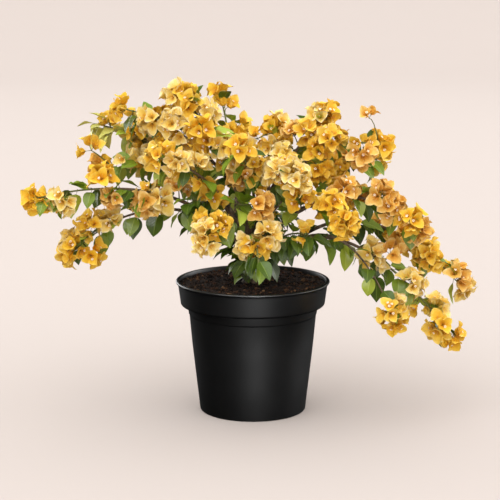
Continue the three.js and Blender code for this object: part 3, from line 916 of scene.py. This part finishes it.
BARK_SIDES = 28
BARK_VOXEL = 0.95 * MM
RING_STEP = 1.6 * MM
FISSURE_LENGTH = 14 * MM
SWELL_LENGTH = 9 * MM
KNOT_SPACING = 19 * MM
KNOT_WIDTH = 0.08  # of their spacing
COLLAR_REACH = 5 * MM
ROOT_SWELL = 1.5 * MM
ROOT_SWELL_REACH = 4 * MM
# Shares of the radius
FISSURE_DEPTH = 0.12
SWELL_DEPTH = 0.09
KNOT_DEPTH = 0.1
COLLAR = 0.35  # what a bough gains where it leaves its parent


def bark_tube(curve, to, radius_at, seed):
    """A tube with fissures along it, a knot here and there and uneven girth"""
    count = max(int(curve.length * to / RING_STEP), 8)
    shares = np.linspace(0, to, count)
    turn = np.arange(BARK_SIDES) * math.tau / BARK_SIDES
    radii = np.empty((count, BARK_SIDES))
    for i, share in enumerate(shares):
        s = share * curve.length
        for j, angle in enumerate(turn):
            place = Vector((math.cos(angle) * 1.6, math.sin(angle) * 1.6, s / FISSURE_LENGTH + seed * 9.1))
            fissure = abs(noise.noise(place * 1.7))
            swell = noise.noise(Vector((place.x * 0.5, place.y * 0.5, s / SWELL_LENGTH + seed * 3.7)))
            radii[i, j] = 1 - FISSURE_DEPTH * (0.35 - fissure) + SWELL_DEPTH * swell
    from_knot = (shares * curve.length / KNOT_SPACING + seed * 0.37) % 1 - 0.5
    knots = 1 + KNOT_DEPTH * np.exp(-(from_knot / KNOT_WIDTH) ** 2)
    radii *= (radius_at(shares) * knots)[:, None]
    points = tube_points(curve.points(shares), radii, BARK_SIDES)
    bark_parts.add(points, ring_faces(count, BARK_SIDES), 0)


def collared(cane):
    """A bough's radius, which widens into a collar where it leaves its parent"""
    return lambda t: cane.radius_at(t) * (1 + COLLAR * np.exp(-t * cane.curve.length / COLLAR_REACH))


def rooted_flare(t):
    return trunk_radius(t) + ROOT_SWELL * np.exp(-t * TRUNK_HEIGHT / ROOT_SWELL_REACH)


bark_parts = Joined("bark", [])
bark_tube(trunk_curve, 1, rooted_flare, 0)
for cane in canes.values():
    if cane.bare:
        bark_tube(cane.curve, cane.bare, collared(cane), cane.number)


def bark_material():
    made, tree, shader = new_material("bark", (120, 100, 78), roughness=0.85, specular=0.25)
    streaks = noise_node(tree, 160, detail=5, stretch=(1, 1, 0.3))
    flecks = noise_node(tree, 620, detail=3)
    mix = node(tree, "ShaderNodeMix", data_type="RGBA", blend_type="MULTIPLY")
    mix.inputs["Factor"].default_value = 0.5
    tree.links.new(ramped(tree, streaks, 0.32, 0.68, (66, 52, 38), (158, 138, 112)), mix.inputs["A"])
    tree.links.new(flecks, mix.inputs["B"])
    tree.links.new(mix.outputs["Result"], shader.inputs["Base Color"])
    bumped(tree, shader, flecks, strength=0.6, distance=0.6 * MM)
    return made


def apply_modifiers(source):
    bpy.context.view_layer.update()
    shape = source.evaluated_get(bpy.context.evaluated_depsgraph_get())
    mesh = bpy.data.meshes.new_from_object(shape)
    source.modifiers.clear()
    source.data = mesh
    mesh.shade_smooth()


bark = bark_parts.pieces()[0]
bark.name = "bark"
skin = bark.modifiers.new("skin", "REMESH")
skin.mode = "VOXEL"
skin.voxel_size = BARK_VOXEL
apply_modifiers(bark)
bark.data.materials.append(bark_material())


# The pot

POT_SIDES = 160
STEP_PROFILE = [(1, -2), (0.8, -1.2), (0.2, -0.4), (0, 0.4)]  # inward and up, in depths of the step
band_foot = POT_HEIGHT - BAND_HEIGHT
band_top = POT_HEIGHT - LIP_HEIGHT
ledge = band_foot + WALL
ledge_top = ledge + LEDGE_RISE


def body_radius(height):
    return lerp(FOOT_RADIUS, SHOULDER_RADIUS, height / band_foot)


def band_radius(height):
    return lerp(BAND_FOOT_RADIUS, BAND_TOP_RADIUS, (height - ledge_top) / (band_top - ledge_top))


def arc(radius, height, size, start, end, steps):
    turn = np.radians(np.linspace(start, end, steps + 1))
    return [(radius + size * math.cos(a), height + size * math.sin(a)) for a in turn]


def lathe(name, profile, sides, material):
    """A closed round solid from a profile that starts and ends on the axis"""
    profile = np.array(profile)
    turn = np.arange(sides) * math.tau / sides
    out = np.stack([np.cos(turn), np.sin(turn), np.zeros(sides)], axis=1)
    rings = profile[1:-1, 0, None, None] * out + profile[1:-1, 1, None, None] * UP
    ends = [profile[0, 1] * UP, profile[-1, 1] * UP]
    points = np.concatenate([rings.reshape(-1, 3), ends])
    faces = ring_faces(len(rings), sides)
    return mesh_object(name, points, faces, np.zeros(len(faces)), None, [material])


def pot_material():
    made, tree, shader = new_material("pot_plastic", (6, 6, 7), roughness=0.42, specular=0.9)
    cloud = noise_node(tree, 24, detail=3)
    streaks = noise_node(tree, 300, detail=2, stretch=(1, 1, 0.02))
    tree.links.new(spread(tree, cloud, 0.38, 0.46), shader.inputs["Roughness"])
    bumped(tree, shader, streaks, strength=0.05, distance=0.2 * MM)
    return made


def make_pot():
    step = band_foot - STEP_DROP
    drain_ring = (DRAIN_CIRCLE - DRAIN_RADIUS * 2, DRAIN_CIRCLE + DRAIN_RADIUS * 2)
    outside = [
        (0, 0),
        *((radius, 0) for radius in drain_ring),
        *arc(FOOT_RADIUS - FOOT_ROUND, FOOT_ROUND, FOOT_ROUND, -90, -5, 4),
        *((body_radius(height), height) for height in (step * 0.35, step * 0.7)),
        *((body_radius(step) - STEP_DEPTH * inward, step + STEP_DEPTH * up) for inward, up in STEP_PROFILE),
        (SHOULDER_RADIUS - 0.3 * MM, band_foot - 3 * MM),
        *arc(SHOULDER_RADIUS + 1.6 * MM, band_foot - 1.6 * MM, 1.6 * MM, 180, 90, 4),
        *arc(BAND_FOOT_RADIUS - BAND_ROUND, band_foot + BAND_ROUND, BAND_ROUND, -90, -2, 6),
        (BAND_FOOT_RADIUS + 0.6 * MM, band_foot + BAND_ROUND * 2.2),
        (BAND_TOP_RADIUS - 0.4 * MM, band_top - 4 * MM),
        *arc(BAND_TOP_RADIUS + 0.9 * MM, band_top - 0.6 * MM, 0.9 * MM, 180, 110, 3),
        *arc(LIP_RADIUS - LIP_ROUND, POT_HEIGHT - LIP_ROUND, LIP_ROUND, -55, 90, 8),
    ]
    inside = [
        *arc(BAND_TOP_RADIUS - WALL + 1.2 * MM, POT_HEIGHT - 1.2 * MM, 1.2 * MM, 90, 180, 3),
        (band_radius(band_top) - WALL, band_top - 1 * MM),
        (BAND_FOOT_RADIUS - WALL, ledge_top),
        (SHOULDER_RADIUS - WALL, ledge),
        (body_radius(FLOOR) - WALL, FLOOR),
        *((radius, FLOOR) for radius in reversed(drain_ring)),
        (0, FLOOR),
    ]
    made = lathe("pot_shell", outside + inside, POT_SIDES, pot_material())
    drills = Joined("drills", [])
    for i in range(DRAIN_HOLES):
        turn = i / DRAIN_HOLES * math.tau
        centre = np.array([math.cos(turn), math.sin(turn), 0]) * DRAIN_CIRCLE
        add_tube(drills, [centre - UP * FLOOR, centre + UP * FLOOR * 2], [DRAIN_RADIUS] * 2, 24, 0)
    cutter = drills.pieces()[0]
    cut = made.modifiers.new("holes", "BOOLEAN")
    cut.operation = "DIFFERENCE"
    cut.object = cutter
    apply_modifiers(made)
    bpy.data.objects.remove(cutter)
    made.data.set_sharp_from_angle(angle=math.radians(40))
    return made


pot = make_pot()


# The soil

def soil_material(name, dark, light):
    made, tree, shader = new_material(name, light, roughness=0.95, specular=0.15)
    grains = noise_node(tree, 420, detail=6)
    tree.links.new(ramped(tree, grains, 0.35, 0.7, dark, light), shader.inputs["Base Color"])
    bumped(tree, shader, grains, strength=0.9, distance=1.5 * MM)
    return made


SOIL_RINGS = 70
SOIL_SIDES = 220
SOIL_LEVELLED = 4 * MM  # from the wall, where the lumps die down
LUMP_WIDTH = 13 * MM
LUMP_HEIGHT = 1.7 * MM
GRAIN_WIDTH = 3.4 * MM
GRAIN_HEIGHT = 1.8 * MM
CRUMBS = 1100
CRUMB_SEED = 7
CRUMB_SIZES = (0.9, 3.2)  # mm, the least and the greatest radius
CRUMB_RINGS = 4
CRUMB_SIDES = 6
edge_height = soil_top - SOIL_SLOPE
edge_radius = band_radius(edge_height) - WALL - GAP


def soil_height(x, y):
    """The crumbly top of the soil, a little lower at the wall"""
    radius = math.hypot(x, y)
    slope = SOIL_SLOPE * max(radius - SOIL_FLAT, 0) / (edge_radius - SOIL_FLAT)
    lumps = noise.fractal(Vector((x, y, 0)) / LUMP_WIDTH, 0.9, 2.1, 5) * LUMP_HEIGHT
    grains = abs(noise.noise(Vector((x, y, 3 * MM)) / GRAIN_WIDTH)) * GRAIN_HEIGHT
    settled = min((edge_radius - radius) / SOIL_LEVELLED, 1)
    return soil_top - slope + (lumps + grains) * settled


def make_soil():
    inward = WALL + GAP
    top = [(edge_radius * (1 - i / SOIL_RINGS), edge_height) for i in range(SOIL_RINGS)]
    wall = [
        (0, FLOOR + GAP),
        (body_radius(FLOOR) - inward, FLOOR + GAP),
        (SHOULDER_RADIUS - inward, ledge + GAP),
        (BAND_FOOT_RADIUS - inward, ledge_top + GAP),
    ]
    profile = wall + top + [(0, soil_top)]
    made = lathe("soil_bed", profile, SOIL_SIDES, soil_material("soil", (22, 15, 11), (66, 46, 34)))
    for vertex in made.data.vertices:
        if vertex.co.z >= edge_height - 1e-6:
            vertex.co.z = soil_height(vertex.co.x, vertex.co.y)
    return made


def add_crumb(crumbs, random):
    """A lump of compost or chip of bark that lies on the soil"""
    radius = (edge_radius - SOIL_LEVELLED) * math.sqrt(random())
    turn = random() * math.tau
    x, y = radius * math.cos(turn), radius * math.sin(turn)
    size = lerp(*CRUMB_SIZES, random() ** 2.2) * MM
    flat = random.between(0.5, 1)
    spin = random() * math.pi
    stretch = random.between(1, 1.9)
    points = []
    for i in range(CRUMB_RINGS):
        lift = math.cos(math.pi * (i + 0.5) / CRUMB_RINGS)
        for j in range(CRUMB_SIDES):
            angle = j * math.tau / CRUMB_SIDES
            bulge = random.between(0.75, 1.15) * math.sqrt(1 - lift**2)
            long, wide = math.cos(angle) * bulge * stretch, math.sin(angle) * bulge
            points.append((
                x + size * (long * math.cos(spin) - wide * math.sin(spin)),
                y + size * (long * math.sin(spin) + wide * math.cos(spin)),
                -lift * size * flat,
            ))
    points += [(x, y, -size * flat), (x, y, size * flat)]
    points = np.array(points)
    points[:, 2] += soil_height(x, y) + size * flat * 0.35
    draw = random()
    kind = 0 if draw < 0.5 else 1 if draw < 0.88 else 2
    crumbs.add(points, ring_faces(CRUMB_RINGS, CRUMB_SIDES), kind)


def make_crumbs():
    materials = [
        soil_material("crumb_dark", (20, 14, 10), (48, 34, 26)),
        soil_material("crumb_brown", (44, 28, 18), (92, 62, 42)),
        soil_material("crumb_chip", (74, 50, 32), (132, 100, 70)),
    ]
    crumbs = Joined("soil_crumbs", materials)
    random = Seeded(CRUMB_SEED)
    for _ in range(CRUMBS):
        add_crumb(crumbs, random)
    return crumbs.pieces()[0]


soil = make_soil()
crumbs = make_crumbs()


# What each piece stands for

masses = [f"foliage_{name}" for name in canes]
limbs = ["trunk"] + [f"bough_{name}" for name, cane in canes.items() if cane.bare]

for piece, slot, replaced in (
    (pot, "pot", ["pot"]),
    (soil, "soil", ["soil"]),
    (crumbs, "soil", ["soil"]),
    (bark, "bark", limbs),
    *((piece, "bark", masses) for piece in stems.pieces()),
    *((piece, "foliage", masses) for kind in (leaves, bracts, tubes) for piece in kind.pieces()),
):
    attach(piece, "root")
    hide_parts(*replaced)


# Floor, light and camera

CAMERA_ELEVATION = math.radians(10.6)
CAMERA_DISTANCE = 2.6
VIEW_WIDTH = 0.81  # of what the camera sees at the plant
AIM = Vector((-0.0045, 0, 0.2635))
SENSOR_WIDTH = 36  # mm
COVE_RADIUS = 10  # m, of the round floor with the wall that it curves up into
COVE_BEND = 3
COVE_STEPS = 12
COVE_SIDES = 96
STUDIO_LIGHT = 1.84
SUN_ENERGY = 0.4
SUN_ANGLE = math.radians(45)
# The lamps that show in gloss alone. Name, place, energy, width, height
GLOSS_LAMPS = [
    ("glint", (0.3, -3, 0.5), 65, 0.8, 0.8),
    ("glint_top", (-0.4, -1.5, 2), 45, 3.6, 0.6),
    ("rim_left", (-1.3, 1.5, 0.6), 24, 1.5, 1.2),
    ("rim_right", (1.9, 0.5, 0.6), 44, 1.8, 1.2),
]


def make_floor():
    """A round floor that curves up into a low wall"""
    bend = arc(COVE_RADIUS - COVE_BEND, COVE_BEND, COVE_BEND, -90, 0, COVE_STEPS)
    profile = [(0, 0), *bend, (COVE_RADIUS, COVE_BEND + 1)]
    radius, height = np.array(profile).T[..., None]
    angle = np.linspace(0, math.tau, COVE_SIDES + 1)
    points = np.stack(np.broadcast_arrays(radius * np.cos(angle), radius * np.sin(angle), height), axis=-1)
    faces = grid_faces(len(profile) - 1, COVE_SIDES)
    material, tree, shader = new_material("floor", (192, 183, 178), roughness=0.9, specular=0)
    grain = noise_node(tree, 6)
    tree.links.new(spread(tree, grain, 0.85, 0.95), shader.inputs["Roughness"])
    return mesh_object("floor", points.reshape(-1, 3), faces, np.zeros(len(faces)), None, [material])


def aim_at(made, place, target):
    made.location = place
    made.rotation_euler = (Vector(target) - Vector(place)).to_track_quat("-Z", "Y").to_euler()


def add_light(name, kind, place, target, energy, **settings):
    data = bpy.data.lights.new(name, kind)
    data.energy = energy
    for key, value in settings.items():
        setattr(data, key, value)
    made = placed(name, data)
    aim_at(made, place, target)
    return made


floor = make_floor()
floor.visible_glossy = False
add_light("sun", "SUN", (-1.0, -1.5, 2.6), (0, 0, 0.3), SUN_ENERGY, angle=SUN_ANGLE)
for name, place, energy, width, height in GLOSS_LAMPS:
    lamp = add_light(name, "AREA", place, (0, 0, 0.2), energy, shape="RECTANGLE", size=width, size_y=height)
    lamp.visible_diffuse = False

world = bpy.data.worlds.new("studio")
world.use_nodes = True
background = world.node_tree.nodes["Background"]
background.inputs["Color"].default_value = (1, 0.99, 0.98, 1)
background.inputs["Strength"].default_value = STUDIO_LIGHT
world.cycles_visibility.glossy = False
scene.world = world
scene.view_settings.view_transform = "Standard"

camera_data = bpy.data.cameras.new("camera")
camera_data.sensor_width = SENSOR_WIDTH
camera_data.lens = SENSOR_WIDTH * CAMERA_DISTANCE / VIEW_WIDTH
camera = placed("camera", camera_data)
towards_camera = Vector((0, -math.cos(CAMERA_ELEVATION), math.sin(CAMERA_ELEVATION)))
aim_at(camera, AIM + CAMERA_DISTANCE * towards_camera, AIM)
scene.camera = camera
